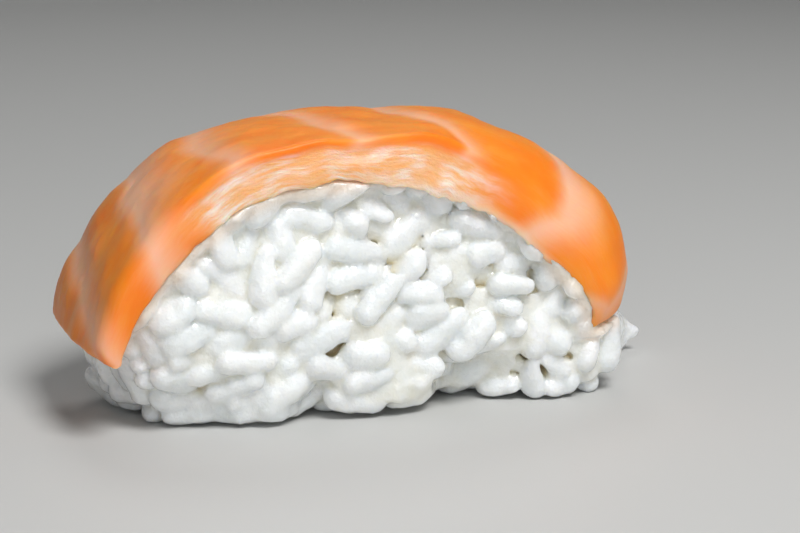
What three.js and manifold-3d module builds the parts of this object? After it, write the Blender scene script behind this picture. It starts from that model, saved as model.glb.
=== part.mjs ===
// Salmon nigiri: a hand-pressed mound of sushi rice with one slice of raw salmon draped over it.
// Millimetres, +Z up. X runs along the piece, -Y is its front, and it rests on z = 0.
import * as THREE from "three";
import { mergeVertices } from "three/addons/utils/BufferGeometryUtils.js";
import Module from "manifold-3d";

const wasm = await Module();
wasm.setup();

// ---- driving dimensions ----

const SLICE_THICKNESS = 4.4; // the salmon at its thickest
const SLICE_HALF_WIDTH = 12.1;
const SLICE_END_THICKNESS = 2.6; // the thin, left end
const CONTACT_GAP = 0.3; // between the salmon and the rice

const RICE_LEFT = 28.6; // from the mound's middle to each face
const RICE_RIGHT = 27.0;
const RICE_HALF_WIDTH = 12.2;
const RICE_UP = 20.0; // taller than the room under the slice, which trims it
const RICE_DOWN = 14.6;
const RICE_MIDDLE = new THREE.Vector3(0.5, 0.3, 10.5);
const PLAN_SQUARENESS = 6; // of the mound seen from above: 2 is an ellipse, more is boxier
const RISE_SQUARENESS = 3.4; // and seen from the side
const RICE_TURN = THREE.MathUtils.degToRad(1.2); // the mound lies a little askew under the slice

const GRAIN_LENGTH = 6.6;
const GRAIN_WIDTH = 3.0;
const GRAIN_RELIEF = 1.15; // how far a grain stands out of the mound's face

const SLICE_STEPS = 54;
const RICE_FACET = 1.6;

// ---- small helpers ----

const smooth = (from, to, x) => THREE.MathUtils.smoothstep(x, from, to);
const bell = (x, middle, width) => Math.exp(-(((x - middle) / width) ** 2));

// A manifold-3d solid from a closed three.js geometry, whose uv and normals are dropped.
function solidFrom(geometry) {
  const bare = new THREE.BufferGeometry().setAttribute("position", geometry.getAttribute("position"));
  if (geometry.index) bare.setIndex(geometry.index);
  const merged = mergeVertices(bare, 1e-4);
  return new wasm.Manifold(
    new wasm.Mesh({
      numProp: 3,
      vertProperties: new Float32Array(merged.attributes.position.array),
      triVerts: new Uint32Array(merged.index.array),
    }),
  );
}

function geometryFrom(solid) {
  const mesh = solid.getMesh();
  const geometry = new THREE.BufferGeometry()
    .setAttribute("position", new THREE.BufferAttribute(mesh.vertProperties, 3))
    .setIndex(new THREE.BufferAttribute(mesh.triVerts, 1));
  geometry.computeVertexNormals();
  return geometry;
}

// ---- the salmon slice ----

// Two lines along the slice's outer face, from its left end over the top to its right end: the crest along its
// middle and its front edge, [x, z]. The edge hangs down at the right, where the slice folds over the mound.
const CREST = line([
  [-31.8, 8.8],
  [-30.7, 13.2],
  [-28.1, 18.4],
  [-23.9, 23.6],
  [-18.1, 28.0],
  [-9.0, 29.9],
  [2.0, 30.4],
  [11.0, 29.7],
  [18.6, 26.4],
  [24.9, 22.1],
  [28.4, 16.9],
  [28.8, 13.4],
  [27.8, 10.4],
]);
const FRONT_EDGE = line([
  [-31.3, 8.6],
  [-30.1, 12.9],
  [-27.6, 17.9],
  [-23.6, 23.1],
  [-18.0, 27.3],
  [-9.0, 29.3],
  [1.6, 29.6],
  [9.6, 26.8],
  [15.8, 22.6],
  [20.0, 18.0],
  [22.8, 13.8],
  [24.2, 10.6],
  [24.6, 8.0],
]);
const BACK_DROOP = 2.6; // how far the back edge hangs below the crest
const END_DROOP = 0.8; // and at the left end
const EDGE_CURVE = 2.9; // how late the face turns down to its edges: 1 is a straight slope

function line(points) {
  return new THREE.CatmullRomCurve3(
    points.map(([x, z]) => new THREE.Vector3(x, 0, z)),
    false,
    "centripetal",
  );
}

// Where the muscle blocks meet, as shares of the way along. The outer face dips there.
const BLOCK_SEAMS = [0.12, 0.34, 0.5, 0.62, 0.74, 0.88];
const SEAM_DIP = 0.45;
const SEAM_WIDTH = 0.02;
const SEAM_SLANT = 0.04; // how far the seams lean along the slice from its middle to its edge

function seamDip(u, v) {
  const along = u - SEAM_SLANT * v;
  return SEAM_DIP * BLOCK_SEAMS.reduce((sum, seam) => sum + bell(along, seam, SEAM_WIDTH), 0);
}

const halfWidth = (u) => SLICE_HALF_WIDTH * (0.94 + 0.06 * smooth(0, 0.3, u) - 0.16 * smooth(0.86, 1, u));

const thickness = (u) =>
  THREE.MathUtils.lerp(SLICE_END_THICKNESS, SLICE_THICKNESS, smooth(0, 0.3, u)) - 1.2 * smooth(0.76, 0.92, u);

// A point of the slice: u runs along it from 0 to 1 and v across it, from -1 at the front edge to 1 at the back.
// Depth is 0 on its outer face and 1 on its underside, and drop lowers the point further, in mm.
function slicePoint(u, v, depth, drop = 0) {
  const hang = Math.abs(v) ** EDGE_CURVE;
  const toFront = v < 0 ? hang : 0;
  const point = CREST.getPoint(u).lerp(FRONT_EDGE.getPoint(u), toFront);
  const along = CREST.getTangent(u).lerp(FRONT_EDGE.getTangent(u), toFront).normalize();
  const outward = new THREE.Vector3(-along.z, 0, along.x);
  const backDroop = v > 0 ? THREE.MathUtils.lerp(END_DROOP, BACK_DROOP, smooth(0.05, 0.4, u)) * hang : 0;
  const height = -backDroop - seamDip(u, v) * (1 - depth) - thickness(u) * depth - drop;
  return point.addScaledVector(outward, height).setY(halfWidth(u) * v);
}

// The places across the slice, from its front edge to its back edge, that the outer face and the underside share.
const FACE_POINTS = 11;
const FACE_EDGE = 0.95; // where the face ends and the rounding of the cut edge starts
const FACE = Array.from({ length: FACE_POINTS }, (_, i) =>
  THREE.MathUtils.lerp(-FACE_EDGE, FACE_EDGE, i / (FACE_POINTS - 1)),
);

// The outer half of the slice's section, as places across and depths: the face with half of each rounded edge.
const OUTER_HALF = [[-1.0, 0.35], [-0.985, 0.1], ...FACE.map((v) => [v, 0]), [0.985, 0.1], [1.0, 0.35]];

// The slice's section at u: its outer half, then its underside, which mirrors it.
function sliceSection(u) {
  const inner = OUTER_HALF.toReversed().map(([v, depth]) => [v, 1 - depth]);
  return [...OUTER_HALF, ...inner].map(([v, depth]) => slicePoint(u, v, depth));
}

// The section of all the space from just under the slice outwards, and past its edges.
const COVER_EDGE = 1.25; // in half widths
const COVER_HEIGHT = 20;
function coverSection(u) {
  const across = [-COVER_EDGE, -1, ...FACE, 1, COVER_EDGE];
  return [
    ...across.map((v) => slicePoint(u, v, 1, CONTACT_GAP - COVER_HEIGHT)),
    ...across.toReversed().map((v) => slicePoint(u, v, 1, CONTACT_GAP)),
  ];
}

// A closed skin over rings of equal count, each going out along one side and home along the other. Each end is
// shut by a strip between the two sides.
function loft(rings) {
  const count = rings[0].length;
  const lastRing = (rings.length - 1) * count;
  const index = [];
  for (let ring = 0; ring < rings.length - 1; ring++)
    for (let i = 0; i < count; i++) {
      const a = ring * count + i;
      const b = ring * count + ((i + 1) % count);
      index.push(a, a + count, b, b, a + count, b + count);
    }
  for (let i = 0; i < count / 2 - 1; i++) {
    const opposite = count - 1 - i;
    for (const [a, b, c] of [[i, i + 1, opposite], [i + 1, opposite - 1, opposite]]) {
      index.push(a, b, c);
      index.push(lastRing + a, lastRing + c, lastRing + b);
    }
  }
  return new THREE.BufferGeometry().setFromPoints(rings.flat()).setIndex(index);
}

// The rings that a section makes along the crest.
const sweep = (section) => Array.from({ length: SLICE_STEPS + 1 }, (_, i) => section(i / SLICE_STEPS));

// The cover's rings, with one more past each end of the slice, so that the gap goes round the ends too.
const END_GAP = 1.0;
function coverRings() {
  const rings = sweep(coverSection);
  const past = (u, step) => {
    const along = CREST.getTangent(u).multiplyScalar(step);
    return coverSection(u).map((point) => point.add(along));
  };
  return [past(0, -END_GAP), ...rings, past(1, END_GAP)];
}

// ---- the rice mound ----

// A repeatable random number from 0 to 1 for each whole number and channel.
function hash(n, channel) {
  const x = Math.sin(n * 127.1 + channel * 311.7) * 43758.5453;
  return x - Math.floor(x);
}

// The mound's smooth face in a direction from its middle.
function moundRadius(d) {
  const length = d.x < 0 ? RICE_LEFT : RICE_RIGHT;
  const height = d.z < 0 ? RICE_DOWN : RICE_UP;
  const plan = Math.abs(d.x / length) ** PLAN_SQUARENESS + Math.abs(d.y / RICE_HALF_WIDTH) ** PLAN_SQUARENESS;
  const sum = plan ** (RISE_SQUARENESS / PLAN_SQUARENESS) + Math.abs(d.z / height) ** RISE_SQUARENESS;
  return sum ** (-1 / RISE_SQUARENESS);
}

// Lobes and hollows of the hand-pressed mound: direction, how wide, and how far out or in, in mm.
const LOBES = [
  { at: [0.95, 0.22, -0.22], wide: 0.2, out: 8.8 }, // the foot at the right end
  { at: [0.82, -0.4, -0.4], wide: 0.16, out: 1.4 }, // the right end's front corner
  { at: [-0.92, 0.3, -0.22], wide: 0.3, out: 1.2 }, // the left end's back corner
  { at: [-0.86, -0.38, -0.36], wide: 0.2, out: -3.4 }, // the left end's front corner
  { at: [0.57, -0.62, -0.55], wide: 0.2, out: -5.4 }, // the hollow under the front, right of the middle
  { at: [-0.58, -0.61, -0.54], wide: 0.1, out: -3.4 }, // the notch left of the middle
  { at: [0.08, -0.76, -0.64], wide: 0.24, out: 1.2 }, // the grains pressed out at the foot of the front
];

function lobes(d) {
  return LOBES.reduce((sum, lobe) => {
    const at = new THREE.Vector3(...lobe.at).normalize();
    return sum + lobe.out * bell(d.angleTo(at), 0, lobe.wide);
  }, 0);
}

// Grains lying on the mound's face, evenly spread with a random heading.
const GRAIN_COUNT = 330;
const GOLDEN_ANGLE = Math.PI * (3 - Math.sqrt(5));
const STRETCH = new THREE.Vector3(RICE_LEFT, RICE_HALF_WIDTH, RICE_UP * 0.75);
const UP = new THREE.Vector3(0, 0, 1);

const GRAINS = Array.from({ length: GRAIN_COUNT }, (_, i) => {
  const z = 1 - (2 * (i + 0.5)) / GRAIN_COUNT;
  const turn = i * GOLDEN_ANGLE + 0.6 * hash(i, 1);
  const flat = Math.sqrt(1 - z * z);
  const d = new THREE.Vector3(flat * Math.cos(turn), flat * Math.sin(turn), z).multiply(STRETCH).normalize();
  const centre = d.clone().multiplyScalar(moundRadius(d));
  const heading = new THREE.Vector3(hash(i, 2) - 0.5, hash(i, 3) - 0.5, hash(i, 4) - 0.5);
  heading.addScaledVector(d, -heading.dot(d)).normalize();
  return { d, centre, heading, proud: 0.55 + 0.45 * hash(i, 5) };
});

// How far the grains stand out at a point of the mound's smooth face.
function grainRelief(point) {
  let relief = 0;
  for (const grain of GRAINS) {
    const offset = point.clone().sub(grain.centre);
    if (offset.lengthSq() > (GRAIN_LENGTH / 2) ** 2) continue;
    const along = offset.dot(grain.heading) / (GRAIN_LENGTH / 2);
    const across = offset.addScaledVector(grain.heading, -offset.dot(grain.heading)).length() / (GRAIN_WIDTH / 2);
    const inside = 1 - along * along - across * across;
    if (inside > 0) relief = Math.max(relief, grain.proud * Math.sqrt(inside));
  }
  return GRAIN_RELIEF * relief;
}

// A box of even facets, each of whose corners is moved out or in to the mound's uneven face.
function moundSolid() {
  const size = [RICE_LEFT + RICE_RIGHT, 2 * RICE_HALF_WIDTH, RICE_UP + RICE_DOWN];
  const geometry = new THREE.BoxGeometry(...size, ...size.map((side) => Math.round(side / RICE_FACET)));
  const position = geometry.getAttribute("position");
  const d = new THREE.Vector3();
  for (let i = 0; i < position.count; i++) {
    d.fromBufferAttribute(position, i).normalize();
    const face = d.clone().multiplyScalar(moundRadius(d));
    const radius = face.length() + lobes(d) + grainRelief(face) - GRAIN_RELIEF / 2;
    d.multiplyScalar(radius).applyAxisAngle(UP, RICE_TURN).add(RICE_MIDDLE);
    position.setXYZ(i, d.x, d.y, d.z);
  }
  return solidFrom(geometry);
}

// ---- the two pieces ----

function largest(solid) {
  return solid.decompose().sort((a, b) => b.volume() - a.volume())[0];
}

const sliceMesh = new THREE.Mesh(
  geometryFrom(solidFrom(loft(sweep(sliceSection)))),
  new THREE.MeshStandardMaterial({ color: 0xf0935a, roughness: 0.35, metalness: 0 }),
);
sliceMesh.name = "salmon_slice";

const rice = largest(moundSolid().trimByPlane([0, 0, 1], 0).subtract(solidFrom(loft(coverRings()))));
const riceMesh = new THREE.Mesh(
  geometryFrom(rice),
  new THREE.MeshStandardMaterial({ color: 0xeceee9, roughness: 0.4, metalness: 0 }),
);
riceMesh.name = "rice_mound";

const nigiri = new THREE.Group();
nigiri.add(riceMesh, sliceMesh);

// The origin is at the middle of the underside of the whole piece's box.
const box = new THREE.Box3().setFromObject(nigiri, true);
const middle = box.getCenter(new THREE.Vector3());
nigiri.position.set(-middle.x, -middle.y, -box.min.z);

export default nigiri;
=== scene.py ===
"""Looks of the salmon nigiri: a slice of raw salmon over a mound of pressed rice grains.

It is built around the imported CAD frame. Shapes are worked out in millimetres and turned into metres when a
mesh is made.
"""
import math

import bpy
import numpy as np
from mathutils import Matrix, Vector
from mathutils.bvhtree import BVHTree


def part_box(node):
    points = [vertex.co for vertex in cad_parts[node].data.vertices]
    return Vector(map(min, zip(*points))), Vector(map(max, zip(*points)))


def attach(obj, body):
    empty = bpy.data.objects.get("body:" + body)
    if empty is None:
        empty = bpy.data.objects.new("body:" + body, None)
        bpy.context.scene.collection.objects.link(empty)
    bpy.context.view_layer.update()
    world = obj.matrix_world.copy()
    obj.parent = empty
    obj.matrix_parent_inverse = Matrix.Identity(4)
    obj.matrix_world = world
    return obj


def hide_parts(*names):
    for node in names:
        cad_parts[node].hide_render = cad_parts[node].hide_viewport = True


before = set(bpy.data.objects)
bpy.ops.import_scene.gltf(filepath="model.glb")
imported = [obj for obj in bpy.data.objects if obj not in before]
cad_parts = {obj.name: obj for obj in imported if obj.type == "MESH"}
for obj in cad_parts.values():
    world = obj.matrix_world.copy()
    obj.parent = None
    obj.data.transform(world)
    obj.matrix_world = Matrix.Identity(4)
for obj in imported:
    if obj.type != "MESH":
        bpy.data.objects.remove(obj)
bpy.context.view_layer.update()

MM = 0.001
SEED = 7


# ---- small helpers ----


def smooth(start, end, x):
    """0 before start, 1 after end, and a smooth step between them."""
    t = np.clip((x - start) / (end - start), 0, 1)
    return t * t * (3 - 2 * t)


def unit(vectors):
    return vectors / np.maximum(np.linalg.norm(vectors, axis=-1, keepdims=True), 1e-9)


def lattice(cells, seed):
    """A repeatable random number from -1 to 1 for each whole-numbered cell, by mixing its bits."""
    x, y, z = (cells[..., i].astype(np.int64) for i in range(3))
    n = (x * 73856093 ^ y * 19349663 ^ z * 83492791 ^ seed * 2654435761) & 0x7FFFFFFF
    n = (n ^ (n >> 13)) * 1274126177 & 0x7FFFFFFF
    return (n ^ (n >> 16)) / 0x3FFFFFFF - 1


def noise(points, size, seed=0):
    """Smooth random numbers from about -1 to 1 at the points, with features of that size in mm."""
    at = np.asarray(points, float) / size + 1000
    cell = np.floor(at)
    t = at - cell
    t = t * t * (3 - 2 * t)
    total = np.zeros(at.shape[:-1])
    for corner in np.ndindex(2, 2, 2):
        weight = np.prod(np.where(corner, t, 1 - t), axis=-1)
        total += weight * lattice(cell + corner, seed)
    return total


def relief(points, layers):
    """Unevenness in mm at the points: the sum of layers of noise, given as height, size and seed."""
    return sum(height * noise(points, size, seed) for height, size, seed in layers)


def blurred(grid, sigma, axis):
    """The grid smoothed along one axis, its ends held."""
    reach = int(3 * sigma) + 1
    kernel = np.exp(-0.5 * (np.arange(-reach, reach + 1) / sigma) ** 2)
    kernel /= kernel.sum()
    pad = [(0, 0)] * grid.ndim
    pad[axis] = (reach, reach)
    padded = np.pad(grid, pad, mode="reflect", reflect_type="odd")
    return np.apply_along_axis(lambda row: np.convolve(row, kernel, "valid"), axis, padded)


def cad_tree(node):
    """The CAD node's faces for ray casts and nearest points, in mm."""
    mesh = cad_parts[node].data
    corners = [v.co / MM for v in mesh.vertices]
    return BVHTree.FromPolygons(corners, [tuple(p.vertices) for p in mesh.polygons])


def cad_points(node):
    """The CAD node's vertices, in mm."""
    return np.array([v.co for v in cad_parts[node].data.vertices]) / MM


def mesh_object(name, points, faces, material):
    """A smooth-shaded object from points in mm."""
    mesh = bpy.data.meshes.new(name)
    mesh.from_pydata((np.asarray(points) * MM).tolist(), [], faces)
    mesh.polygons.foreach_set("use_smooth", np.ones(len(mesh.polygons), bool))
    mesh.materials.append(material)
    mesh.update()
    piece = bpy.data.objects.new(name, mesh)
    bpy.context.scene.collection.objects.link(piece)
    return piece


def attribute(piece, name, values):
    """Writes numbers or vectors to the piece's vertices, for its material to read."""
    values = np.asarray(values, np.float32)
    kind, field = ("FLOAT", "value") if values.ndim == 1 else ("FLOAT_VECTOR", "vector")
    piece.data.attributes.new(name, kind, "POINT").data.foreach_set(field, values.ravel())


# ---- material nodes ----


class Nodes:
    """A material's node tree, built a node at a time.

    A call's keywords are the node's input sockets, by name or, as i0, i1 and so on, by number.
    """

    def __init__(self, name):
        self.material = bpy.data.materials.new(name)
        self.material.use_nodes = True
        self.tree = self.material.node_tree
        self.tree.nodes.clear()

    def add(self, kind, settings=None, **inputs):
        made = self.tree.nodes.new("ShaderNode" + kind)
        for key, value in (settings or {}).items():
            setattr(made, key, value)
        for key, value in inputs.items():
            socket = made.inputs[int(key[1:])] if key[1:].isdigit() else made.inputs[key.replace("_", " ")]
            if isinstance(value, bpy.types.NodeSocket):
                self.tree.links.new(value, socket)
            else:
                socket.default_value = value
        return made

    def read(self, name, output="Fac"):
        return self.add("Attribute", {"attribute_name": name}).outputs[output]

    def math(self, operation, a, b, clamp=False):
        return self.add("Math", {"operation": operation, "use_clamp": clamp}, i0=a, i1=b).outputs[0]

    def noise(self, at, scale, detail=2.0, **inputs):
        return self.add("TexNoise", Vector=at, Scale=scale, Detail=detail, **inputs).outputs["Fac"]

    def stretch(self, at, scale, turn=(0, 0, 0)):
        return self.add("Mapping", Vector=at, Scale=scale, Rotation=turn).outputs[0]

    def span(self, value, low, high, to_low=0.0, to_high=1.0):
        ends = {"i1": low, "i2": high, "i3": to_low, "i4": to_high}
        return self.add("MapRange", {"clamp": True}, Value=value, **ends).outputs[0]

    def mix(self, share, a, b):
        made = self.add("Mix", {"data_type": "RGBA"})
        for socket, value in zip((made.inputs[0], made.inputs[6], made.inputs[7]), (share, a, b)):
            if isinstance(value, bpy.types.NodeSocket):
                self.tree.links.new(value, socket)
            else:
                socket.default_value = value
        return made.outputs[2]

    def bump(self, height, distance, strength=1.0, normal=None):
        extra = {} if normal is None else {"Normal": normal}
        return self.add("Bump", Height=height, Distance=distance, Strength=strength, **extra).outputs[0]

    def finish(self, shader):
        out = self.add("OutputMaterial")
        self.tree.links.new(shader, out.inputs["Surface"])
        return self.material


def colour(red, green, blue):
    """A linear colour from its sRGB values, 0 to 255."""
    linear = [((c / 255 + 0.055) / 1.055) ** 2.4 if c > 10 else c / 255 / 12.92 for c in (red, green, blue)]
    return (*linear, 1.0)


# ---- the salmon slice ----

# The slice is an arch, so each of its points has a turn about a line below it, from 0 at the left to pi at
# the right, a distance from that line, and a place across from -1 at its front side to 1 at its back side.
PIVOT_X = -2.0
PIVOT_Z = 4.0
TURN_STEP = math.radians(1.0)
EDGE_ROWS = 0.93  # the CAD slice's faces are measured up to here, in half widths
ROWS = 27  # lines along the slice that they are measured on
OUTSIDE = 60  # mm from the pivot line, beyond the slice's outer face
HALF_BLUR = 5  # turn steps that the measured half width is smoothed over
END_BLUR = 1.5  # rows that the measured ends are smoothed over
FACE_BLUR = (1.6, 1.0)  # turn steps and rows that the CAD's facets are smoothed over
EVEN_STEPS = 400  # steps that the slice's length is measured in
ALONG = 300  # points along the slice
ACROSS = 96  # over its outer face
UNDER = 44  # under it
SIDE = 18  # and down each cut side
REACH_TO_RICE = 0.28  # mm, how far the underside sags to lie on the grains
CUT_EDGE = 0.35  # mm, the radius of the slice's edges where its side is a clean cut
WORN_EDGE = 1.5  # and towards both ends, where the top bends over to the rice
CUT_FROM = (14.0, 21.0)  # mm along the slice where the clean cut comes in
CUT_TO = (48.0, 60.0)  # and where it goes out again
END_EDGE = 0.5  # mm, the radius of the edges at the slice's two ends
LARGEST_EDGE = 0.48  # no side edge's radius is more than this share of the thickness
EDGE_PASSES = 12  # rounds of smoothing over the worn edges
RIM_SAG = 1.1  # mm, how far the front rim hangs down over the rice at the right
RIM_CLEAR = 0.8  # mm less that the rice reaches up in front of the rim than under it
SAG_FROM = (34.0, 42.0)  # mm along the slice where it starts to hang
SAG_TO = (66.0, 74.0)  # and where it ends
SAG_ACROSS = (0.7, 1.0)  # half widths to the front where the rim hangs
RAGGED_ACROSS = (0.8, 1.0)  # to either side where the lower edge is ragged
CLEAR_ACROSS = (0.85, 1.0)  # and where the rice keeps clear of it
NOT_THERE = -99  # mm, what above() gives where there's no slice

# Unevenness of the slice: mm high, mm wide and the seed of each layer.
FACE_BULGES = ((0.14, 3.0, 36), (0.04, 0.9, 37))
RAGGED_RIM = ((0.4, 3.1, 34), (0.25, 1.1, 35))
TORN_SIDE = ((0.16, 1.6, 33), (0.1, 0.6, 31))
BAND_WOBBLE = ((0.8, 5.0, 11), (0.2, 2.0, 12))


def measure_slice():
    """The CAD slice's half width and outer and inner distance at each turn, with nan past its ends."""
    tree = cad_tree("salmon_slice")
    points = cad_points("salmon_slice")
    turns = np.arange(0.0, math.pi + TURN_STEP / 2, TURN_STEP)
    own_turn = np.arctan2(points[:, 2] - PIVOT_Z, PIVOT_X - points[:, 0])
    centre = (points[:, 1].max() + points[:, 1].min()) / 2
    near = 3 * TURN_STEP
    from_centre = np.abs(points[:, 1] - centre)
    half = np.array([from_centre[np.abs(own_turn - turn) < near].max(initial=0) for turn in turns])
    known = half > 0.5 * half.max()  # past the slice's ends there are no points, or only stray ones
    half = blurred(np.interp(turns, turns[known], half[known]), HALF_BLUR, 0)
    rows = np.linspace(-EDGE_ROWS, EDGE_ROWS, ROWS)
    outer = np.full((len(turns), len(rows)), np.nan)
    inner = outer.copy()
    for i, turn in enumerate(turns):
        way = Vector((-math.cos(turn), 0, math.sin(turn)))
        for j, row in enumerate(rows):
            start = Vector((PIVOT_X, centre + row * half[i], PIVOT_Z))
            out = tree.ray_cast(start + way * OUTSIDE, -way)[0]
            under = tree.ray_cast(start, way)[0]
            if out is not None and under is not None:
                outer[i, j] = (out - start).length
                inner[i, j] = (under - start).length
    return turns, rows, half, centre, outer, inner


def lookup(grid, i, j):
    """The grid's values between its points."""
    i0 = np.clip(np.floor(i).astype(int), 0, grid.shape[0] - 2)
    j0 = np.clip(np.floor(j).astype(int), 0, grid.shape[1] - 2)
    a, b = i - i0, j - j0  # past the last row or column the slope goes on
    return (
        grid[i0, j0] * (1 - a) * (1 - b)
        + grid[i0 + 1, j0] * a * (1 - b)
        + grid[i0, j0 + 1] * (1 - a) * b
        + grid[i0 + 1, j0 + 1] * a * b
    )


class Slice:
    """The measured slice.

    A point of it is given by u, the share of the way along, v, the place across, and the depth below its
    outer face as a share of its thickness.
    """

    def __init__(self):
        turns, rows, half, self.centre, outer, inner = measure_slice()
        there = ~np.isnan(outer)
        first = turns[there.argmax(0)]
        last = turns[len(turns) - 1 - there[::-1].argmax(0)]
        self.first = blurred(first, END_BLUR, 0)
        self.last = blurred(last, END_BLUR, 0)
        for grid in (outer, inner):
            for j in range(len(rows)):
                known = there[:, j]
                grid[:, j] = np.interp(turns, turns[known], grid[known, j])
        self.outer, self.inner = (
            blurred(blurred(grid, FACE_BLUR[0], 0), FACE_BLUR[1], 1) for grid in (outer, inner)
        )
        self.rows = rows
        self.half = half
        # Even steps along the middle row's outer face.
        fine = np.linspace(0, 1, EVEN_STEPS)
        middle = len(rows) // 2
        turn = self.first[middle] + (self.last[middle] - self.first[middle]) * fine
        radius = np.interp(turn, turns, self.outer[:, middle])
        x, z = -np.cos(turn) * radius, np.sin(turn) * radius
        run = np.concatenate([[0], np.cumsum(np.hypot(np.diff(x), np.diff(z)))])
        self.length = run[-1]
        self.even = (run / run[-1], fine)

    def row(self, v):
        """The place across as a number of rows."""
        return (v - self.rows[0]) / (self.rows[1] - self.rows[0])

    def turn(self, u, v):
        """The turn at a share of the way along and a place across."""
        j = np.clip(self.row(v), 0, len(self.rows) - 1)
        j0 = np.clip(np.floor(j).astype(int), 0, len(self.rows) - 2)
        first = self.first[j0] + (self.first[j0 + 1] - self.first[j0]) * (j - j0)
        last = self.last[j0] + (self.last[j0 + 1] - self.last[j0]) * (j - j0)
        return first + (last - first) * np.interp(u, *self.even)

    def at(self, u, v, depth, lift=0.0, sideways=0.0):
        """Points in mm. Lift moves them away from the pivot line, and sideways along Y."""
        turn = self.turn(u, v)
        i = turn / TURN_STEP
        j = self.row(v)
        outer = lookup(self.outer, i, j)
        inner = lookup(self.inner, i, j) - REACH_TO_RICE
        radius = outer + (inner - outer) * depth + lift
        half = np.interp(i, np.arange(len(self.half)), self.half)
        y = self.centre + v * half + sideways
        return np.stack([PIVOT_X - np.cos(turn) * radius, y, PIVOT_Z + np.sin(turn) * radius], -1)

    def above(self, points):
        """How far points are above the slice's underside in mm, or above its rim if they are beside it."""
        x, y, z = np.moveaxis(points, -1, 0)
        turn = np.arctan2(z - PIVOT_Z, PIVOT_X - x)
        middle = len(self.rows) // 2
        first, last = self.first[middle], self.last[middle]
        i = np.clip(turn / TURN_STEP, 0, len(self.half) - 1)
        v = (y - self.centre) / np.interp(i, np.arange(len(self.half)), self.half)
        j = np.clip(self.row(v), 0, len(self.rows) - 1)
        along = self.length * np.interp((turn - first) / (last - first), self.even[1], self.even[0])
        rim = lookup(self.inner, i, j) - rim_sag(along, v) - RIM_CLEAR * smooth(*CLEAR_ACROSS, np.abs(v))
        over = np.hypot(x - PIVOT_X, z - PIVOT_Z) - rim
        return np.where((turn > first) & (turn < last), over, NOT_THERE)


def rim_sag(along, v):
    """How far the front rim hangs down over the rice, in mm, at places along and across the slice."""
    return RIM_SAG * smooth(*SAG_FROM, along) * (1 - smooth(*SAG_TO, along)) * smooth(*SAG_ACROSS, -v)


MUSCLE = (250, 146, 40)  # sRGB
MUSCLE_DEEP = (248, 130, 28)
FAT = (250, 186, 150)
# the cut side's colours, paler than the top's: partly the cut fibres' own look, partly painted light and
# sheen on a side that faces the light, the near-white streaks most of all
CUT_MUSCLE = (255, 186, 124)
CUT_FIBRE_AND_SHEEN = (255, 240, 232)
FRINGE = (254, 222, 202)  # the thin lower edge of the cut side

# Bands of fat between the blocks of muscle: mm from the left end at the back edge, at the middle and at the
# front edge, the width in mm, and how pale.
BANDS = [
    (10.0, 5.9, 2.4, 2.3, 0.85),
    (19.0, 16.6, 13.8, 3.4, 1.0),
    (26.0, 24.8, 25.1, 2.2, 0.8),
    (32.5, 35.6, 38.3, 1.9, 0.7),
    (45.5, 46.3, 50.8, 1.9, 0.75),
    (57.5, 63.0, 66.5, 3.2, 1.0),
    (69.0, 74.5, 80.5, 2.4, 0.7),
]
BAND_LEAN = -0.9  # how far a band moves left down the cut side, in mm for each mm
BAND_DIP = 0.12  # mm, the groove that runs along the left side of each band
SHARP_SIDE = 0.5  # a band's left side fades over this share of its width
SOFT_SIDE = 0.95  # and its right side, where the fat slopes under the muscle, over this
BAND_VARIES = (0.35, 7.0, 20)  # share of its width that a band varies by, over how many mm, and first seed
FALL_OFF = 1.7  # how suddenly the fat ends: 1 is a peak, and more is a flatter band
GROOVE_AT = 0.3  # mm left of the band's middle
GROOVE_WIDTH = 1.2  # mm


def band_middle(band, y, half):
    """How far along the slice the band's middle is at a place across."""
    back, middle, front = band[:3]
    v = np.clip(y / half, -1, 1)
    return middle + (back - front) / 2 * v + ((back + front) / 2 - middle) * v * v


def fat(sheet, half):
    """How much of each point of the unrolled slice is fat, and how deep the groove beside the band is."""
    along, y, down = np.moveaxis(sheet, -1, 0)
    wobble = relief(sheet, BAND_WOBBLE)
    varies, over, seed = BAND_VARIES
    share = np.zeros_like(along)
    groove = np.zeros_like(along)
    for number, band in enumerate(BANDS):
        width, paleness = band[3:]
        width = width * (1 + varies * noise(sheet, over, seed + number))
        offset = along + wobble - band_middle(band, y, half) - BAND_LEAN * down + 0.1 * width
        fade = width * np.where(offset < 0, SHARP_SIDE, SOFT_SIDE)
        share = np.maximum(share, paleness * np.exp(-np.abs(offset / fade) ** FALL_OFF))
        groove += np.exp(-(((offset + GROOVE_AT) / GROOVE_WIDTH) ** 2))
    return share, groove


def slice_loop():
    """Place across and depth of each point round the slice's section.

    They go over its outer face, down its back side, under it and up its front side.
    """
    top = np.linspace(-1, 1, ACROSS + 2)[1:-1]
    under = np.linspace(1, -1, UNDER + 2)[1:-1]
    down = 0.5 - 0.5 * np.cos(np.pi * np.arange(SIDE) / (SIDE - 1))
    across = np.concatenate([top, np.ones(SIDE), under, -np.ones(SIDE)])
    depth = np.concatenate([np.zeros(ACROSS), down, np.ones(UNDER), down[::-1]])
    return across, depth


def rounded(from_side, from_face, radius):
    """How far in and down a point of a square edge moves to lie on a rounded one."""
    p, q = from_side - radius, from_face - radius
    reach = np.maximum(np.hypot(p, q), 1e-6)
    at_edge = (p < 0) & (q < 0)
    scale = np.where(at_edge, radius / reach - 1, 0)
    return p * scale, q * scale


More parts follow.
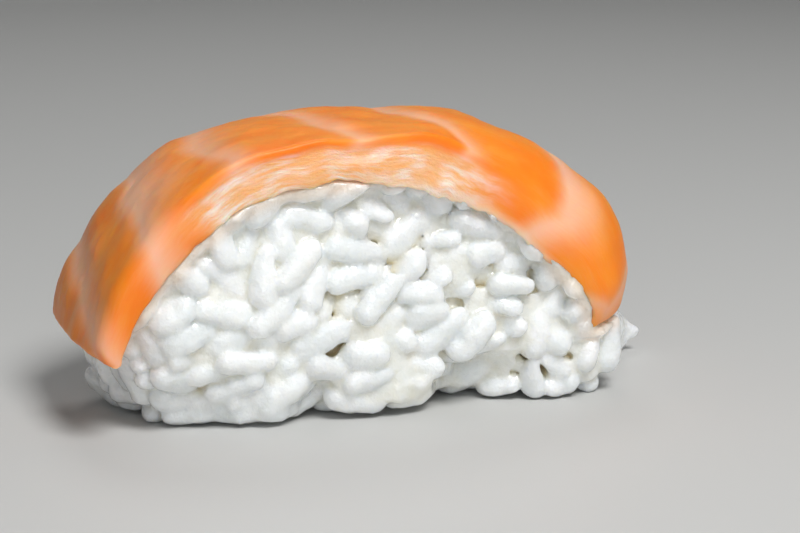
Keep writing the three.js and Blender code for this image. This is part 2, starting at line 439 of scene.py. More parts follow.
def make_salmon(shape, material):
    """The slice, finer than the CAD's, with grooves by its fat, torn cut sides and a ragged lower edge."""
    across, depths = slice_loop()
    u, v = np.meshgrid(np.linspace(0, 1, ALONG), across, indexing="ij")
    depth = np.broadcast_to(depths, v.shape)
    along = u * shape.length
    half = np.interp(shape.turn(u, v) / TURN_STEP, np.arange(len(shape.half)), shape.half)
    face = shape.at(u, v, np.zeros_like(v))
    thick = np.linalg.norm(face - shape.at(u, v, np.ones_like(v)), axis=-1)
    on_side = np.abs(v) == 1
    down = np.where(on_side, depth * thick, 0)
    y = v * half
    sheet = np.stack([along, y, down], -1)
    share, groove = fat(sheet, half)
    clean = smooth(*CUT_FROM, along + noise(sheet, 4.0, 40)) * (1 - smooth(*CUT_TO, along))

    # Away from the pivot line: bulges on the outer face, the ragged rim, its sag and the round edges.
    bulge = relief(np.stack([along, y, 3 * depth], -1), FACE_BULGES) - BAND_DIP * groove
    ragged = relief(np.stack([along, np.sign(v), 0 * v], -1), RAGGED_RIM)
    lift = (1 - depth) * bulge + depth * smooth(*RAGGED_ACROSS, np.abs(v)) * ragged * (0.4 + 0.6 * clean)
    sag = rim_sag(along, v)
    lift -= sag * depth
    to_end = np.minimum(u, 1 - u) * shape.length
    end_fall = np.clip(END_EDGE - to_end, 0, END_EDGE)
    lift += (2 * depth - 1) * (END_EDGE - np.sqrt(END_EDGE**2 - end_fall**2))
    worn = CUT_EDGE + (WORN_EDGE - CUT_EDGE) * (1 - clean)
    radius = np.minimum(np.where(depth < 0.5, worn, CUT_EDGE), LARGEST_EDGE * thick)
    inward, sunk = rounded((1 - np.abs(v)) * half, np.minimum(depth, 1 - depth) * thick, radius)
    lift += np.where(depth < 0.5, -sunk, sunk)

    # Along Y: fibres torn along the middle of the cut sides, and the round edges again.
    fibres = np.stack([0.3 * along, np.sign(v), 1.4 * down + 0.2 * along], -1)
    torn = relief(fibres, TORN_SIDE)
    middle_side = smooth(0, 0.25, depth) * (1 - smooth(0.75, 1, depth))
    sideways = np.sign(v) * (np.where(on_side, torn * middle_side * (0.3 + 0.7 * clean), 0) - inward)

    points = shape.at(u, v, depth, lift, sideways)
    to_corner = np.hypot((1 - np.abs(v)) * half, np.minimum(depth, 1 - depth) * thick)
    softness = (1 - clean)[..., None] * np.exp(-((to_corner / WORN_EDGE) ** 2))[..., None]
    for _ in range(EDGE_PASSES):
        beside = (np.roll(points, 1, 1) + np.roll(points, -1, 1)) / 2
        points += 0.5 * softness * (beside - points)
    piece = mesh_object("salmon_flesh", points.reshape(-1, 3), slice_faces(len(across)), material)
    attribute(piece, "sheet", sheet.reshape(-1, 3))
    attribute(piece, "fat", share.ravel())
    attribute(piece, "cut", (clean * smooth(0.5, 1.5, down)).ravel())
    attribute(piece, "fringe", (sag / RIM_SAG * on_side * smooth(0.7, 1.0, depth)).ravel())
    return piece


def slice_faces(count):
    """The slice's faces: quads from each section of that many points to the next, and its two ends."""
    section, spot = np.meshgrid(np.arange(ALONG - 1), np.arange(count), indexing="ij")
    here = section * count
    after = (spot + 1) % count
    corners = [here + spot, here + after, here + count + after, here + count + spot]
    faces = np.stack(corners, -1).reshape(-1, 4).tolist()
    return faces + end_strips(count, 0, flip=False) + end_strips(count, (ALONG - 1) * count, flip=True)


def end_strips(count, first, flip):
    """Quads that close an end of the slice, each between its outer face and its underside."""
    start = ACROSS + SIDE + UNDER + SIDE // 2  # half way down the front side
    order = [first + (start + i) % count for i in range(count)]
    strips = []
    for i in range(count // 2 - 1):
        strip = [order[i], order[i + 1], order[count - 2 - i], order[count - 1 - i]]
        strips.append(strip[::-1] if flip else strip)
    return strips


def salmon_material():
    """Orange muscle with pale fat, fine fibres along the slice, and a glossier cut side in paler colours:
    partly its cut fibres' own look, partly painted light and sheen.
    """
    n = Nodes("salmon")
    sheet = n.read("sheet", "Vector")
    share = n.read("fat")
    cut = n.read("cut")
    # Fibres run along the slice, a little aslant.
    fibre_at = n.stretch(sheet, (0.2, 2.0, 2.0), (0, 0, 0.2))
    fibres = n.noise(fibre_at, 2.2, 4.0)
    broad = n.noise(n.stretch(sheet, (0.12, 0.3, 0.4), (0, 0, 0.2)), 1.0, 2.0)
    pale = n.math("ADD", share, n.span(fibres, 0.3, 0.7, -0.05, 0.05))
    pale = n.math("ADD", pale, n.span(broad, 0.3, 0.7, -0.03, 0.03), clamp=True)
    muscle = n.mix(n.span(broad, 0.35, 0.65), colour(*MUSCLE_DEEP), colour(*MUSCLE))
    flesh = n.mix(pale, muscle, colour(*FAT))
    # near-white streaks on the cut side: partly its fibres, partly a painted sheen along them
    streaks = n.noise(n.stretch(sheet, (0.2, 1, 1.5), (0, 0.12, 0)), 1.6, 5.0)
    patches = n.noise(n.stretch(sheet, (0.3, 1, 0.6), (0, 0.3, 0)), 1.0, 1.0)
    fibre_and_sheen = n.math("MULTIPLY", n.span(streaks, 0.36, 0.66), n.span(patches, 0.35, 0.6, 0.25, 1.0))
    cut_flesh = n.mix(fibre_and_sheen, colour(*CUT_MUSCLE), colour(*CUT_FIBRE_AND_SHEEN))
    base = n.mix(n.math("MULTIPLY", cut, 0.85), flesh, cut_flesh)
    base = n.mix(n.math("MULTIPLY", n.read("fringe"), 0.7), base, colour(*FRINGE))
    fine = n.noise(n.stretch(sheet, (0.5, 3, 3), (0, 0, 0.25)), 2.6, 3.0)
    wet = n.noise(n.stretch(sheet, (0.6, 1, 2), (0, 0.3, 0)), 4.0, 3.0)
    soft = n.bump(fine, 0.00005, 0.35)
    normal = n.bump(n.math("MULTIPLY", wet, cut), 0.0002, 0.7, soft)
    shader = n.add(
        "BsdfPrincipled",
        {"subsurface_method": "RANDOM_WALK"},
        Base_Color=base,
        Roughness=n.math("SUBTRACT", n.span(fine, 0.3, 0.7, 0.34, 0.48), n.math("MULTIPLY", cut, 0.12)),
        IOR=1.33,
        Normal=normal,
        Subsurface_Weight=0.7,
        Subsurface_Radius=(1.0, 0.35, 0.12),
        Subsurface_Scale=0.0014,
        Coat_Weight=0.08,
        Coat_Roughness=0.16,
    )
    return n.finish(shader.outputs[0])


# ---- the rice ----

GRAIN_COUNT = 760  # packed in the shell of the mound
GRAIN_LENGTH = 6.4
GRAIN_WIDTH = 3.15
GRAIN_THICK = 2.45
LENGTH_VARIES = (0.74, 1.12)
WIDTH_VARIES = (0.8, 1.18)
THICK_VARIES = (0.92, 1.05)
TAPERS = (0.05, 0.45)  # how much narrower one end of a grain is
BENDS = (-0.4, 0.4)  # mm
SHELL_DEPTH = 5.0  # mm below the mound's outline, where the packing ends
SWELL = 1.8  # mm that the rice is pressed out against the salmon's rim
SWELL_AT_ENDS = 1.0  # and where the slice folds down and is thin
SWELL_CHANGES = (17, 24)  # mm from the middle along X where it goes over from one to the other
SWELL_STARTS = (-0.9, -0.1)  # mm from the slice's surface, inside it
SWELL_FADES = (0.3, 3.0)  # and outside it
FOOT_FROM = (27.0, 8.6)  # mm, the x and z where the top of the foot starts to fall to its point
FOOT_FALL = 0.85  # mm down for each mm along
FOOT_LUMPY = (25, 28)  # mm along X where the foot's larger lumps come in
FIELD_STEP = 1.0  # mm between the points that distances are measured at
FIELD_MARGIN = 4  # mm of them around the mound's box
DEEPEST = -9  # mm, below every place that matters
LOOK_OUT = Vector((0.31, 0.22, 0.92))  # a point is inside if it sees the surface's inner side this way
PACK_STEPS = 110
START_SIZE = 0.55  # the share of its width that a grain starts the packing with
GROWTH = 0.45  # and the share that it gains in the first half of the steps
SPOTS_EACH = 30  # places drawn for each grain, to have enough in the shell
LIE_FLAT = 0.75  # how much of a grain's lean out of the mound is taken away
LIE_ALIKE = 1.2  # how strongly grains turn to the preferred way
UPRIGHT = np.array([0.3, 0, 0.95])
LEVEL = np.array([0.9, 0, 0.15])
INSET = 0.7  # mm, the most that a grain's surface lies under the outline
KEPT_APART = 0.88  # pressed grains keep the rest of their width inside each other
PUSHED_APART = 0.35  # shares of what's wrong that one step puts right: grains too deep in each other,
PUSHED_IN = 0.8  # outside the outline or under the floor,
PUSHED_OUT = 0.5  # or below the shell
MOVES_ENDS = 2.2  # how far both ends of a grain follow its beads
BEADS = np.array([-1.0, -0.5, 0.0, 0.5, 1.0])  # places along a grain's axis, in shares of its half length
BEAD_SIZE = np.array([0.78, 0.95, 1.0, 0.95, 0.78])  # and the grain's width there
GRAIN_RINGS = 19
GRAIN_SIDES = 24
SKIN_STEP = 0.26  # mm between the points that the pressed rice's skin is found on
TUCKED_IN = 0.5  # mm that the rice reaches into the slice, so that no gap shows
RESTS_AT = 0.04  # mm above the floor, the flat underside
LOOSE_RESTS_AT = 0.03  # and the loose grains'
SKIN_MARGIN = 2.4  # mm around the mound's box where the skin is looked for
SKIN_REACH = 1.2  # mm around a grain where it still draws the skin
SKIN_SHARE = 0.57  # of the skin's triangles are kept
TIGHT = 0.06  # mm, how softly the skin crosses from grain to grain
MASHED = 0.3  # mm, and where the grains are squashed into each other
MOST_MASHED = 0.75  # how far the skin goes over to the softer one there
MASHED_SINKS = 0.25  # mm that the softer skin is sunk, as it lies further out
FILLED_BELOW = 1.25  # mm under the mound's outline, where most gaps end
HOLE_DEPTH = 3.2  # where a few go deeper
FILLED_HERE = 0.3  # and where the rice is squashed to a paste
FOOT_PASTE = (26, 29)  # mm along X where the foot's paste comes in
CORNER_PASTE_FROM = (-25, -22)  # and the lower left's
CORNER_PASTE_TO = (-13, -9)  # mm along X where that goes out
CORNER_PASTE_BACK = (-6, -3)  # along Y
CORNER_PASTE_TOP = (2.5, 5.5)  # and along Z
LOOSE_GRAINS = 6  # whole grains that stand proud of the pressed ones, on the side away from the camera
LOOSE_FACE_BACK = 0.2  # the least share of the way out at them that is along Y
LOOSE_FROM_SLICE = 2.5  # mm from the slice, at least
LOOSE_TAPER = 0.3  # their taper, as a share of a pressed grain's
UNDER_LOOSE = 0.72  # the size of the skin's bulge under a loose grain, as a share of the grain's
NEAR_SALMON = (0.2, 2.4)  # mm from the slice within which the rice has the full painted glow of light bounced from the salmon, and beyond which it has none

# Unevenness of the grains: mm high, mm wide and the seed of each layer.
LOOSE_SKIN = ((0.13, 1.9, 51), (0.11, 0.95, 52), (0.05, 0.55, 53))
PRESSED_LUMPS = (1.9, 72)  # the pressed skin's first layer, whose height varies
LUMP_HEIGHT = 0.14
FOOT_LUMP_HEIGHT = 0.2  # mm more in the foot
PRESSED_SKIN = ((0.12, 0.95, 73), (0.07, 0.55, 74))

# The two pointed grains at the tip of the foot: mm from the mound's right end, and the way they point.
FOOT_GRAINS = [
    ((0.7, -1.2, -0.3), (0.93, -0.1, -0.3)),
    ((0.5, -1.2, -0.5), (0.8, -0.15, 0.25)),
]
FOOT_GRAIN = np.array([3.8, 2.3, 2.0])  # mm, half their length, width and thickness
FOOT_TAPER = 0.78


class Depth:
    """Signed distance to a CAD node's surface in mm, below 0 inside, on a grid around the mound's box."""

    def __init__(self, tree, low, high):
        self.low = low - FIELD_MARGIN
        shape = np.ceil((high - low + 2 * FIELD_MARGIN) / FIELD_STEP).astype(int) + 1
        values = np.empty(shape)
        for index in np.ndindex(*shape):
            point = Vector(self.low + np.array(index) * FIELD_STEP)
            hit, normal, _, _ = tree.ray_cast(point, LOOK_OUT)
            inside = hit is not None and normal.dot(LOOK_OUT) > 0
            distance = tree.find_nearest(point)[3]
            values[index] = -distance if inside else distance
        self.places = self.low + np.moveaxis(np.indices(shape), 0, -1) * FIELD_STEP
        self.change(values)

    def change(self, values):
        self.values = values
        self.slopes = np.stack(np.gradient(values, FIELD_STEP), -1)

    def read(self, grid, points):
        """The grid's values, or vectors, between its points."""
        at = (points - self.low) / FIELD_STEP
        cell = np.clip(np.floor(at).astype(int), 0, np.array(self.values.shape) - 2)
        t = np.clip(at - cell, 0, 1)
        total = 0
        for corner in np.ndindex(2, 2, 2):
            weight = np.prod(np.where(corner, t, 1 - t), axis=-1)
            i, j, k = (cell + corner).T
            value = grid[i, j, k]
            total = total + (weight[:, None] * value if value.ndim > 1 else weight * value)
        return total

    def at(self, points):
        flat = points.reshape(-1, 3)
        return self.read(self.values, flat).reshape(points.shape[:-1])

    def outward(self, points):
        """The way out of the surface at the points."""
        flat = points.reshape(-1, 3)
        return unit(self.read(self.slopes, flat)).reshape(points.shape)


def bead_places(ends):
    """The beads of each grain, between its two ends."""
    share = (BEADS + 1) / 2
    return ends[:, None, 0] * (1 - share[:, None]) + ends[:, None, 1] * share[:, None]


def preferred_way(centres):
    """The way that grains tend to lie: upright towards the right and the upper left, else level."""
    x, _, z = centres.T
    upright = smooth(8, 14, x) + smooth(-12, -17, x) * smooth(10, 15, z)
    upright = np.clip(upright + 0.4 * noise(centres, 9.0, 61), 0, 1)[:, None]
    return upright * UPRIGHT + (1 - upright) * LEVEL


def pack_grains(depth_field, low, high):
    """Grains as pairs of ends, packed in the mound's shell, with their lengths and half widths."""
    random = np.random.default_rng(SEED)
    length = GRAIN_LENGTH * random.uniform(*LENGTH_VARIES, GRAIN_COUNT)
    width = GRAIN_WIDTH / 2 * random.uniform(*WIDTH_VARIES, GRAIN_COUNT)
    inset = INSET * random.uniform(-0.2, 1.0, GRAIN_COUNT) ** 2
    spots = random.uniform(low, high, (GRAIN_COUNT * SPOTS_EACH, 3))
    below = depth_field.at(spots)
    centres = spots[(below < -1.2) & (below > -SHELL_DEPTH)][:GRAIN_COUNT]
    heading = unit(random.normal(size=(GRAIN_COUNT, 3)))
    facing = np.where((heading * preferred_way(centres)).sum(-1, keepdims=True) < 0, -1, 1)
    heading = unit(facing * heading + LIE_ALIKE * preferred_way(centres))
    outward = depth_field.outward(centres)
    heading = unit(heading - LIE_FLAT * (heading * outward).sum(-1, keepdims=True) * outward)
    half_axis = length / 2 - width * BEAD_SIZE[0]
    ends = np.stack([centres - heading * half_axis[:, None], centres + heading * half_axis[:, None]], 1)
    owner = np.repeat(np.arange(GRAIN_COUNT), len(BEADS))
    share = np.tile((BEADS + 1) / 2, GRAIN_COUNT)
    for step in range(PACK_STEPS):
        grown = START_SIZE + GROWTH * min(1, step / (0.5 * PACK_STEPS))
        beads = bead_places(ends).reshape(-1, 3).astype(np.float32)
        radius = (grown * width[:, None] * BEAD_SIZE).ravel()
        move = push_apart(beads, radius, owner)
        outside = depth_field.at(beads) + radius + np.repeat(inset, len(BEADS))
        way = depth_field.outward(beads)
        move -= np.maximum(outside, 0)[:, None] * way * PUSHED_IN
        deep = -SHELL_DEPTH - depth_field.at(beads)
        move += np.maximum(deep, 0)[:, None] * way * PUSHED_OUT
        low_by = np.maximum(radius * 0.9 - beads[:, 2], 0)
        move[:, 2] += low_by * PUSHED_IN
        for end, weight in ((0, 1 - share), (1, share)):
            np.add.at(ends[:, end], owner, move * weight[:, None] / len(BEADS) * MOVES_ENDS)
        middle = ends.mean(1)
        heading = unit(ends[:, 1] - ends[:, 0])
        ends = np.stack([middle - heading * half_axis[:, None], middle + heading * half_axis[:, None]], 1)
    return ends, length, width


def push_apart(beads, radius, owner):
    """How far each bead moves because beads of other grains are too deep in it."""
    square = (beads**2).sum(-1)
    gap = square[:, None] + square - 2 * beads @ beads.T
    i, j = np.nonzero(gap < (2.05 * radius.max()) ** 2)  # pairs that could touch
    keep = owner[i] < owner[j]
    i, j = i[keep], j[keep]
    apart = beads[i] - beads[j]
    distance = np.maximum(np.linalg.norm(apart, axis=-1), 1e-3)
    overlap = KEPT_APART * (radius[i] + radius[j]) - distance
    touching = overlap > 0
    i, j = i[touching], j[touching]
    push = (PUSHED_APART * overlap[touching] / distance[touching])[:, None] * apart[touching]
    move = np.zeros_like(beads, float)
    np.add.at(move, i, push)
    np.add.at(move, j, -push)
    return move


def grain_template():
    """A grain's points as place along it, from -1 to 1, and angle round it, poles last, and its faces."""
    rings = np.cos(np.pi * (np.arange(1, GRAIN_RINGS)) / GRAIN_RINGS)
    angle = 2 * np.pi * np.arange(GRAIN_SIDES) / GRAIN_SIDES
    place, turn = (grid.ravel() for grid in np.meshgrid(-rings, angle, indexing="ij"))
    faces = []
    for ring in range(len(rings) - 1):
        for side in range(GRAIN_SIDES):
            a = ring * GRAIN_SIDES + side
            b = ring * GRAIN_SIDES + (side + 1) % GRAIN_SIDES
            faces.append((a, b, b + GRAIN_SIDES, a + GRAIN_SIDES))
    first, last = len(place), len(place) + 1
    for side in range(GRAIN_SIDES):
        after = (side + 1) % GRAIN_SIDES
        faces.append((first, after, side))
        end = (len(rings) - 1) * GRAIN_SIDES
        faces.append((last, end + side, end + after))
    return np.append(place, [-1, 1]), np.append(turn, [0, 0]), faces


def grain_frames(ends, field, random):
    """Each grain's middle and its three axes: along it, across its broad side and through it."""
    middle = ends.mean(1)
    along = unit(ends[:, 1] - ends[:, 0])
    facing = field.outward(middle) + 0.45 * random.normal(size=along.shape)
    side = unit(np.cross(along, facing))
    return middle, np.stack([along, side, np.cross(along, side)], 1)


def grain_points(middle, axes, half_size, taper, bend):
    """Each grain's points: a plump, slightly bent oval with one end narrower, and an uneven skin."""
    place, turn, faces = grain_template()
    swell = np.sqrt(1 - np.abs(place) ** 2.9)
    narrow = swell * (1 - taper[:, None] * smooth(-0.2, 1, place))
    along = place * half_size[:, :1]
    across = narrow * np.cos(turn) * half_size[:, 1:2] + bend[:, None] * (place**2 - 0.4)
    through = narrow * np.sin(turn) * half_size[:, 2:3]
    local = np.stack([along, across, through], -1)
    points = middle[:, None] + np.einsum("gvi,gij->gvj", local, axes)
    points += relief(points, LOOSE_SKIN)[..., None] * unit(points - middle[:, None])
    return points, faces


def surface_of(values, low, step):
    """The points and faces of the surface where a grid of values passes 0, its inside below 0."""
    cells = np.array(values.shape)
    total, count = np.zeros((*cells, 3)), np.zeros(cells)
    quads = []
    for axis in range(3):
        u, w = (axis + 1) % 3, (axis + 2) % 3
        first = np.take(values, range(cells[axis] - 1), axis)
        second = np.take(values, range(1, cells[axis]), axis)
        where = np.argwhere((first < 0) != (second < 0))
        a, b = first[tuple(where.T)], second[tuple(where.T)]
        spot = where.astype(float)
        spot[:, axis] += a / (a - b)
        corners = []
        for back_u, back_w in ((0, 0), (1, 0), (1, 1), (0, 1)):
            cell = where.copy()
            cell[:, u] -= back_u
            cell[:, w] -= back_w
            np.add.at(total, tuple(cell.T), spot)
            np.add.at(count, tuple(cell.T), 1)
            corners.append(np.ravel_multi_index(tuple(cell.T), cells))
        quad = np.stack(corners, 1)
        quads.append(np.where((a < 0)[:, None], quad, quad[:, ::-1]))
    used = count.ravel() > 0
    number = np.cumsum(used) - 1
    points = low + step * (total.reshape(-1, 3)[used] / count.ravel()[used, None])
    return points, number[np.concatenate(quads)]


def outer_skin(points, faces):
    """The largest of the connected skins, without the bubbles that it encloses."""
    label = np.arange(len(points))
    settled = False
    while not settled:
        lowest = label[faces].min(1)
        spread = label.copy()
        for corner in faces.T:
            np.minimum.at(spread, corner, lowest)
        spread = spread[spread]
        settled = (spread == label).all()
        label = spread
    skin = label[faces[:, 0]]
    faces = faces[skin == np.bincount(skin).argmax()]
    used, renumbered = np.unique(faces, return_inverse=True)
    return points[used], renumbered.reshape(faces.shape)


def grain_distance(places, centre, ways, size, taper, bend):
    """Rough distance in mm from places to one grain's skin."""
    local = (places - centre) @ ways.T
    share = np.clip(local[..., 0] / size[0], -1, 1)
    local[..., 1] -= bend * (share**2 - 0.4)
    local[..., 2] *= size[1] / size[2]
    local[..., 0] -= np.clip(local[..., 0], size[1] - size[0], size[0] - size[1] * (1 - taper))
    return np.linalg.norm(local, axis=-1) - size[1] * (1 - taper * smooth(-0.2, 1, share))


def filled_below(places, from_slice):
    """How far under the mound's outline every gap ends, in mm.

    That is least in the foot, in the mashed lower left and against the salmon.
    """
    x, y, z = np.moveaxis(places, -1, 0)
    foot = smooth(*FOOT_PASTE, x)
    corner = smooth(*CORNER_PASTE_FROM, x) * (1 - smooth(*CORNER_PASTE_TO, x))
    corner = corner * (1 - smooth(*CORNER_PASTE_TOP, z)) * (1 - smooth(*CORNER_PASTE_BACK, y))
    under = 0.7 * (1 - smooth(0.6, 2.0, from_slice))
    holes = smooth(0.3, 0.55, noise(places, 4.5, 75))
    usual = FILLED_BELOW + (HOLE_DEPTH - FILLED_BELOW) * holes
    return usual + (FILLED_HERE - usual) * np.maximum.reduce([foot, 0.9 * corner, under])


def foot_grains():
    """The pointed grains that make the tip of the foot, at the mound's right end."""
    points = cad_points("rice_mound")
    end = points[points[:, 0] > points[:, 0].max() - 0.1].mean(0)
    grains = []
    for offset, way in FOOT_GRAINS:
        along = unit(np.array(way))
        side = unit(np.cross([0, 0, 1], along))
        ways = np.stack([along, side, np.cross(along, side)])
        grains.append((end + offset - along * FOOT_GRAIN[0], ways, FOOT_GRAIN, FOOT_TAPER, 0.0, 0.5))
    return grains


def mark(piece, points, own, field, slice_field):
    """Writes what the rice's material reads: the depth, for painted shade between the grains, the grain's
    own tint, and how near the salmon is, for a painted glow of light bounced from it.
    """
    attribute(piece, "below", -field.at(points))
    attribute(piece, "own", own)
    attribute(piece, "near", 1 - smooth(*NEAR_SALMON, slice_field.at(points)))


def make_pressed(shape, field, slice_field, grains, low, high, material):
    """The pressed grains as one skin: creased between grains, and drawn smooth where they are mashed."""
    start = low - SKIN_MARGIN
    cells = np.ceil((high - low + 2 * SKIN_MARGIN) / SKIN_STEP).astype(int) + 1
    spots = np.stack(np.meshgrid(*(np.arange(n) for n in cells), indexing="ij"), -1) * SKIN_STEP + start
    nearest = field.at(spots) + filled_below(spots, slice_field.at(spots))
    pull = np.exp(-nearest / MASHED)
    own = np.full(nearest.shape, 0.5)
    for centre, ways, size, taper, bend, tint in grains:
        reach = np.abs(ways.T) @ size + SKIN_REACH
        first = np.clip(np.floor((centre - reach - start) / SKIN_STEP).astype(int), 0, cells)
        last = np.clip(np.ceil((centre + reach - start) / SKIN_STEP).astype(int), 0, cells)
        box = tuple(slice(a, b) for a, b in zip(first, last))
        distance = grain_distance(spots[box], centre, ways, size, taper, bend)
        pull[box] += np.exp(-distance / MASHED)
        own[box] = np.where(distance < nearest[box], tint, own[box])
        gap = np.clip(TIGHT - np.abs(distance - nearest[box]) / 4, 0, None)
        nearest[box] = np.minimum(distance, nearest[box]) - gap**2 / TIGHT
    close = np.abs(nearest) < 1
    at = spots[close]
    mashed = MOST_MASHED * smooth(0.0, 0.6, noise(at, 8.0, 71))
    fused = -MASHED * np.log(pull[close]) + MASHED_SINKS
    lumps = LUMP_HEIGHT + FOOT_LUMP_HEIGHT * smooth(*FOOT_LUMPY, at[:, 0])
    uneven = relief(at, ((lumps, *PRESSED_LUMPS), *PRESSED_SKIN))
    skin = nearest[close] + mashed * (fused - nearest[close]) + uneven
    values = nearest
    values[close] = np.maximum(skin, shape.above(at) - TUCKED_IN)
    values = np.maximum(values, RESTS_AT - spots[..., 2])
    points, faces = outer_skin(*surface_of(values, start, SKIN_STEP))
    pressed = mesh_object("rice_pressed", points, faces.tolist(), material)
    thin_out(pressed, SKIN_SHARE)
    points = np.array([v.co for v in pressed.data.vertices]) / MM
    cell = tuple(np.round((points - start) / SKIN_STEP).astype(int).T)
    mark(pressed, points, own[cell], field, slice_field)
    return pressed


def thin_out(piece, share):
    """Leaves that share of the piece's triangles, taken from its flattest parts first."""
    modifier = piece.modifiers.new("thin", "DECIMATE")
    modifier.ratio = share
    evaluated = piece.evaluated_get(bpy.context.evaluated_depsgraph_get())
    mesh = bpy.data.meshes.new_from_object(evaluated)
    piece.modifiers.remove(modifier)
    mesh.polygons.foreach_set("use_smooth", np.ones(len(mesh.polygons), bool))
    piece.data = mesh


def hidden_by_slice(ends, field):
    """Whether each grain lies wholly under the salmon."""
    tree = cad_tree("salmon_slice")
    places = bead_places(ends)
    ways = field.outward(places)
    return np.array([
        all(tree.ray_cast(Vector(spot), Vector(way))[0] is not None for spot, way in zip(*grain))
        for grain in zip(places, ways)
    ])


def press_out(field, slice_field):
    """Presses the mound's outline out against the salmon's rim, and slopes the foot down to its point."""
    from_slice = slice_field.values
    x, _, z = np.moveaxis(field.places, -1, 0)
    swell = SWELL + (SWELL_AT_ENDS - SWELL) * smooth(*SWELL_CHANGES, np.abs(x))
    swell = swell * smooth(*SWELL_STARTS, from_slice) * (1 - smooth(*SWELL_FADES, from_slice))
    slope = (z - FOOT_FROM[1] + FOOT_FALL * (x - FOOT_FROM[0])) / math.hypot(1, FOOT_FALL)
    slope = np.where(x > FOOT_FROM[0] - 2, slope, DEEPEST)
    field.change(np.maximum(field.values - swell, slope))


def make_rice(shape, material):
    """The pressed grains, and the loose ones that stand proud of them."""
    low, high = (np.array(corner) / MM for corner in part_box("rice_mound"))
    field = Depth(cad_tree("rice_mound"), low, high)
    slice_field = Depth(cad_tree("salmon_slice"), low, high)
    press_out(field, slice_field)
    ends, length, width = pack_grains(field, low, high)
    random = np.random.default_rng(SEED + 1)
    middle, axes = grain_frames(ends, field, random)
    flat = GRAIN_THICK / GRAIN_WIDTH * random.uniform(*THICK_VARIES, GRAIN_COUNT)
    half_size = np.stack([length / 2, width, width * flat], -1)
    taper = random.uniform(*TAPERS, GRAIN_COUNT)
    bend = random.uniform(*BENDS, GRAIN_COUNT)
    tint = random.uniform(0, 1, GRAIN_COUNT)
    pressed_in = hidden_by_slice(ends, field) | (slice_field.at(middle) < LOOSE_FROM_SLICE)
    pressed_in |= field.outward(middle)[:, 1] < LOOSE_FACE_BACK
    proud = field.at(middle) + half_size[:, 2] + DEEPEST * pressed_in
    loose = np.argsort(proud)[-LOOSE_GRAINS:]
    pressed_size = half_size.copy()
    pressed_size[loose] *= UNDER_LOOSE
    pressed = [*zip(middle, axes, pressed_size, taper, bend, tint), *foot_grains()]
    skin = make_pressed(shape, field, slice_field, pressed, low, high, material)
    parts = (middle, axes, half_size, LOOSE_TAPER * taper, bend)
    points, faces = grain_points(*(part[loose] for part in parts))
    points[..., 2] = np.maximum(points[..., 2], LOOSE_RESTS_AT)
    count = points.shape[1]
    points = points.reshape(-1, 3)
    all_faces = [tuple(c + g * count for c in face) for g in range(LOOSE_GRAINS) for face in faces]
    grains = mesh_object("rice_grains", points, all_faces, material)
    mark(grains, points, np.repeat(tint[loose], count), field, slice_field)
    return grains, skin


RICE_GREY = (235, 238, 237)  # sRGB, cloudy white between these two
RICE_WHITE = (248, 248, 246)
RICE_COLD = (222, 228, 228)  # a grain's own tint goes towards this
# painted light: the pink glow of light bounced from the salmon, on the rice right beside it
RICE_PAINTED_SALMON_GLOW = (252, 222, 198)
# painted shade: the warm, darker tone that the rice goes over to deep down between the grains
RICE_PAINTED_CREASE_SHADE = (230, 215, 168)


def rice_material():
    """Moist cooked rice: milky and translucent, with a wet, uneven skin, painted warm shade down between the
    grains and a painted pink glow of light bounced from the salmon beside it.
    """
    n = Nodes("rice")
    at = n.add("TexCoord").outputs["Object"]
    own = n.read("own")
    below = n.read("below")
    cloudy = n.noise(at, 500, 3.0)
    white = n.mix(n.span(cloudy, 0.3, 0.7), colour(*RICE_GREY), colour(*RICE_WHITE))
    white = n.mix(n.span(own, 0, 1, 0, 0.45), white, colour(*RICE_COLD))
    # painted light: beside the salmon the rice goes over to the pink glow of light bounced from it
    white = n.mix(n.math("MULTIPLY", n.read("near"), 0.9), white, colour(*RICE_PAINTED_SALMON_GLOW))
    # painted shade: the deeper below the mound's outline, the more the colour goes over to the warm, darker
    # tone
    base = n.mix(n.span(below, 0.9, 2.8, 0, 0.85), white, colour(*RICE_PAINTED_CREASE_SHADE))
    lumps = n.noise(at, 1300, 3.0)
    fine = n.noise(at, 3600, 2.0)
    normal = n.bump(fine, 0.0002, 0.45, n.bump(lumps, 0.0004, 0.55))
    shader = n.add(
        "BsdfPrincipled",
        {"subsurface_method": "RANDOM_WALK"},
        Base_Color=base,
        Roughness=0.3,
        IOR=1.4,
        Normal=normal,
        Subsurface_Weight=1.0,
        Subsurface_Radius=(1.0, 0.95, 0.85),
        Subsurface_Scale=0.0021,
        Coat_Weight=1.0,
        Coat_Roughness=0.1,
    )
    return n.finish(shader.outputs[0])


# ---- floor, lights and camera ----

AZIMUTH = -20
ELEVATION = 12
LENS = 100
FRAME_WIDTH = 0.0856  # metres across the picture at the object
SIDEWAYS = 0.0025  # how far the camera aims to the side of the object's middle
UPWARDS = 0.0133  # and above its base

FLOOR = (198, 198, 196)  # sRGB
FLOOR_NEAR = 600  # mm from the object to the floor's front edge, and half of what its sides are away
BACKDROP_AT = 450  # where the floor starts to curve up behind
BACKDROP_CURVE = 300  # the curve's radius
BACKDROP_HEIGHT = 900

# Round lamps: name, place and size in metres, power in watts and tint.
LAMPS = [
    ("key", (0.05, -0.3, 0.42), 0.2, 2.25, (1, 1, 1)),
    ("fill", (-0.1, -0.4, 0.1), 0.3, 0.42, (0.93, 0.97, 1)),
    ("back", (0.1, 0.3, 0.5), 0.25, 0.5, (1, 1, 1)),
]
LIT_AT = Vector((0, 0, 0.015))  # where the lamps point
AROUND = {"Color": (0.97, 0.98, 1, 1), "Strength": 0.12}  # light from all sides


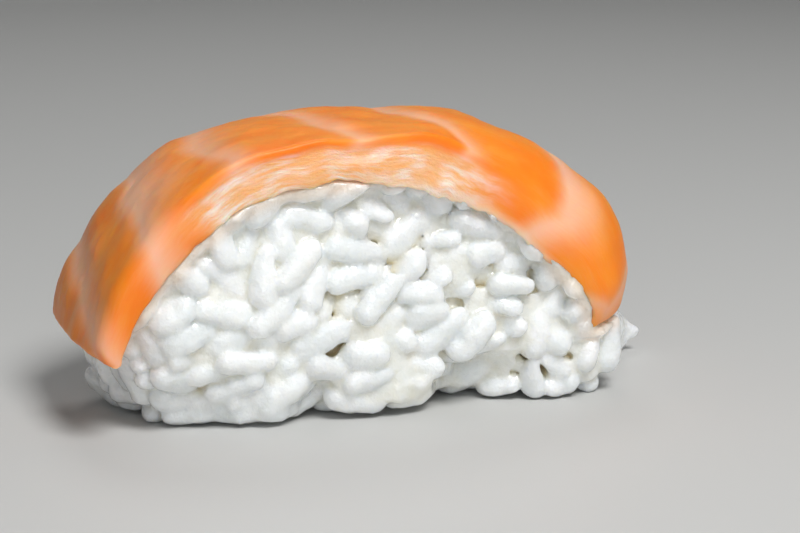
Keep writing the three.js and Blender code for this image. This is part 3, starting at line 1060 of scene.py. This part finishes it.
def make_floor():
    """A pale floor that curves up into a backdrop."""
    n = Nodes("floor")
    shader = n.add("BsdfPrincipled", Base_Color=colour(*FLOOR), Roughness=0.6)
    turns = np.linspace(0, math.pi / 2, 25)
    radius = BACKDROP_CURVE
    curve = [(BACKDROP_AT + radius * math.sin(t), radius * (1 - math.cos(t))) for t in turns]
    profile = [(-FLOOR_NEAR, 0), *curve, (curve[-1][0], BACKDROP_HEIGHT)]
    side = 2 * FLOOR_NEAR
    points = [(x, y, z) for y, z in profile for x in (-side, side)]
    faces = [(2 * i, 2 * i + 1, 2 * i + 3, 2 * i + 2) for i in range(len(profile) - 1)]
    mesh_object("floor", points, faces, n.finish(shader.outputs[0]))


def make_lamp(name, place, size, power, tint):
    data = bpy.data.lights.new(name, "AREA")
    data.shape = "DISK"
    data.size = size
    data.energy = power
    data.color = tint
    lamp = bpy.data.objects.new(name, data)
    lamp.location = place
    aim = LIT_AT - lamp.location
    lamp.rotation_euler = aim.to_track_quat("-Z", "Y").to_euler()
    bpy.context.scene.collection.objects.link(lamp)


def make_stage():
    make_floor()
    for lamp in LAMPS:
        make_lamp(*lamp)
    world = bpy.data.worlds.new("studio")
    world.use_nodes = True
    for socket, value in AROUND.items():
        world.node_tree.nodes["Background"].inputs[socket].default_value = value
    bpy.context.scene.world = world


def make_camera():
    """The camera at the photograph's viewing angle."""
    azimuth, elevation = math.radians(AZIMUTH), math.radians(ELEVATION)
    level = math.cos(elevation)
    back = Vector((math.sin(azimuth) * level, -math.cos(azimuth) * level, math.sin(elevation)))
    right = Vector((math.cos(azimuth), math.sin(azimuth), 0))
    data = bpy.data.cameras.new("camera")
    data.lens = LENS
    data.clip_start = 0.01
    camera = bpy.data.objects.new("camera", data)
    distance = FRAME_WIDTH / 2 / math.tan(math.atan(data.sensor_width / 2 / LENS))
    camera.location = right * SIDEWAYS + back.cross(right) * UPWARDS + back * distance
    camera.rotation_euler = (-back).to_track_quat("-Z", "Y").to_euler()
    bpy.context.scene.collection.objects.link(camera)
    bpy.context.scene.camera = camera


make_stage()
make_camera()

shape = Slice()
salmon = make_salmon(shape, salmon_material())
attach(salmon, "root")
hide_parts("salmon_slice")

for rice in make_rice(shape, rice_material()):
    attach(rice, "root")
    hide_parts("rice_mound")

bpy.context.scene.view_settings.view_transform = "Standard"
